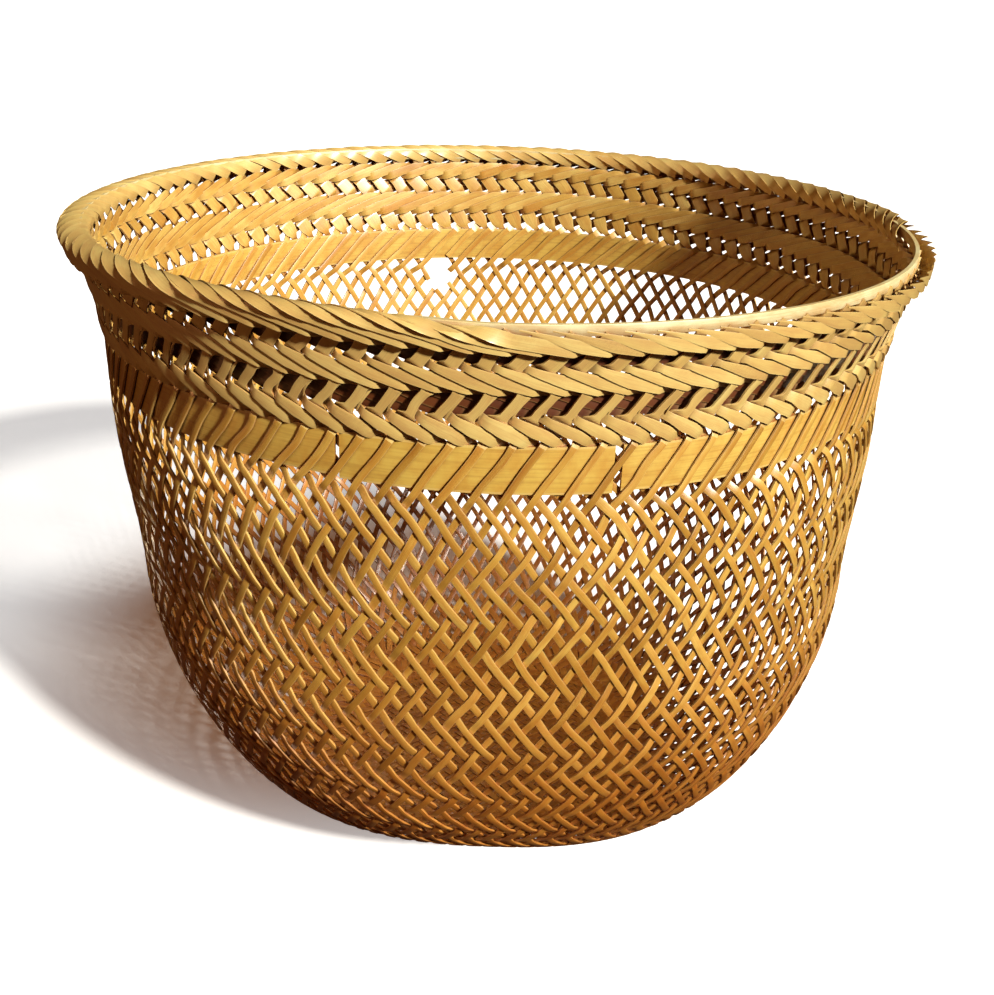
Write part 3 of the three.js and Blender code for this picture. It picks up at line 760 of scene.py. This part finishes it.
base_runs, wall_runs, left_runs, right_runs = plait()
strips = [("base_strips_one_way", base_runs[0], base_rattan, "base_strip"),
          ("base_strips_other_way", base_runs[1], base_rattan, "base_strip")]
WALL_PIECES = 4
for n in range(WALL_PIECES):
    share = slice(n * len(wall_runs) // WALL_PIECES, (n + 1) * len(wall_runs) // WALL_PIECES)
    strips.append((f"wall_strips_{n + 1}", wall_runs[share], wall_rattan, "wall_strip"))
strips += [("border_strips_left_leaning", left_runs, border_rattan, "border_strip"),
           ("border_strips_right_leaning", right_runs, border_rattan, "border_strip")]
pieces = {name: (swept_piece(name, runs, material), slot) for name, runs, material, slot in strips}

band_long = ring_run(-75.0, 251.5, BAND_RADIUS, long_band_level, 15.0)
band_short = ring_run(-107.9, -76.0, BAND_RADIUS, short_band_level, 15.4)
hoop = ring_run(-239, 121, HOOP_RADIUS, hoop_level, HOOP_HEIGHT)
hoop["wide"] -= 1.5 * bare_share(hoop["angle"])
hoop["thick"] -= 0.3 * bare_share(hoop["angle"])
for name, run, material, thick, corner, slot in (
        ("band_long_splint", band_long, band_rattan, BAND_THICK, 0.12, "band_splint"),
        ("band_short_splint", band_short, band_rattan, BAND_THICK, 0.12, "band_splint"),
        ("rim_hoop_splint", hoop, hoop_rattan, HOOP_THICK, 0.2, "rim_splint")):
    pieces[name] = (swept_piece(name, [run], material, 1.0, thick, corner), slot)

REPLACED = {
    "base_strips_one_way": ["base_mat"],
    "wall_strips_1": ["woven_bowl_foot", "woven_bowl", "woven_side"],
    "border_strips_left_leaning": ["woven_border", "lower_row", "middle_row", "upper_row", "rim_wraps"],
    "band_long_splint": ["band_long_length"],
    "band_short_splint": ["band_short_length"],
    "rim_hoop_splint": ["rim_hoop"],
}
for name, (piece, slot) in pieces.items():
    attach(piece, "root")
    if name in REPLACED:
        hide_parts(*REPLACED[name])

# Floor, light and camera
floor_mesh = bpy.data.meshes.new("floor")
floor_mesh.from_pydata([(-14, -6, 0), (14, -6, 0), (14, 22, 0), (-14, 22, 0)], [], [(0, 1, 2, 3)])
floor = bpy.data.objects.new("floor", floor_mesh)
floor.data.materials.append(studio_floor())
scene.collection.objects.link(floor)
floor.visible_diffuse = False
floor.visible_glossy = False

world = bpy.data.worlds.new("studio")
world.use_nodes = True
background = world.node_tree.nodes["Background"]
background.inputs["Color"].default_value = linear("#FFB080")
background.inputs["Strength"].default_value = 0.035
scene.world = world


def lamp(name, strength, angle, azimuth, elevation, colour):
    """A broad lamp far off, in the direction given in degrees."""
    light = bpy.data.lights.new(name, "SUN")
    light.energy = strength
    light.angle = math.radians(angle)
    light.color = linear(colour)[:3]
    holder = bpy.data.objects.new(name, light)
    turn, rise = math.radians(azimuth), math.radians(elevation)
    way = Vector((math.cos(turn) * math.cos(rise), math.sin(turn) * math.cos(rise), math.sin(rise)))
    holder.rotation_euler = way.to_track_quat("Z", "Y").to_euler()
    scene.collection.objects.link(holder)


lamp("key_light", 6.0, 5, -47, 31, "#FFFBF2")
lamp("left_light", 0.45, 8, -160, 1, "#FFB070")

# The camera as fitted to the photograph: its place in metres, its focal length and its angles in degrees
CAMERA_PLACE = (-LEAN * HEIGHT * MM, -0.488, 0.3443)
FOCAL_LENGTH = 44.783
YAW, PITCH, ROLL = -0.4473, 24.161, 1.5358

lens_camera = bpy.data.cameras.new("camera")
lens_camera.sensor_fit = "HORIZONTAL"
lens_camera.sensor_width = 36
lens_camera.lens = FOCAL_LENGTH
camera = bpy.data.objects.new("camera", lens_camera)
scene.collection.objects.link(camera)
yaw, pitch, roll = (math.radians(degrees) for degrees in (YAW, PITCH, ROLL))
right = Vector((math.cos(yaw), math.sin(yaw), 0))
ahead = Vector((-math.sin(yaw), math.cos(yaw), 0))
look = ahead * math.cos(pitch) - Vector((0, 0, 1)) * math.sin(pitch)
up = ahead * math.sin(pitch) + Vector((0, 0, 1)) * math.cos(pitch)
rolled_right = right * math.cos(roll) + up * math.sin(roll)
rolled_up = up * math.cos(roll) - right * math.sin(roll)
turn = Matrix((rolled_right, rolled_up, -look)).transposed().to_4x4()
camera.matrix_world = Matrix.Translation(CAMERA_PLACE) @ turn
scene.camera = camera
scene.view_settings.view_transform = "Standard"
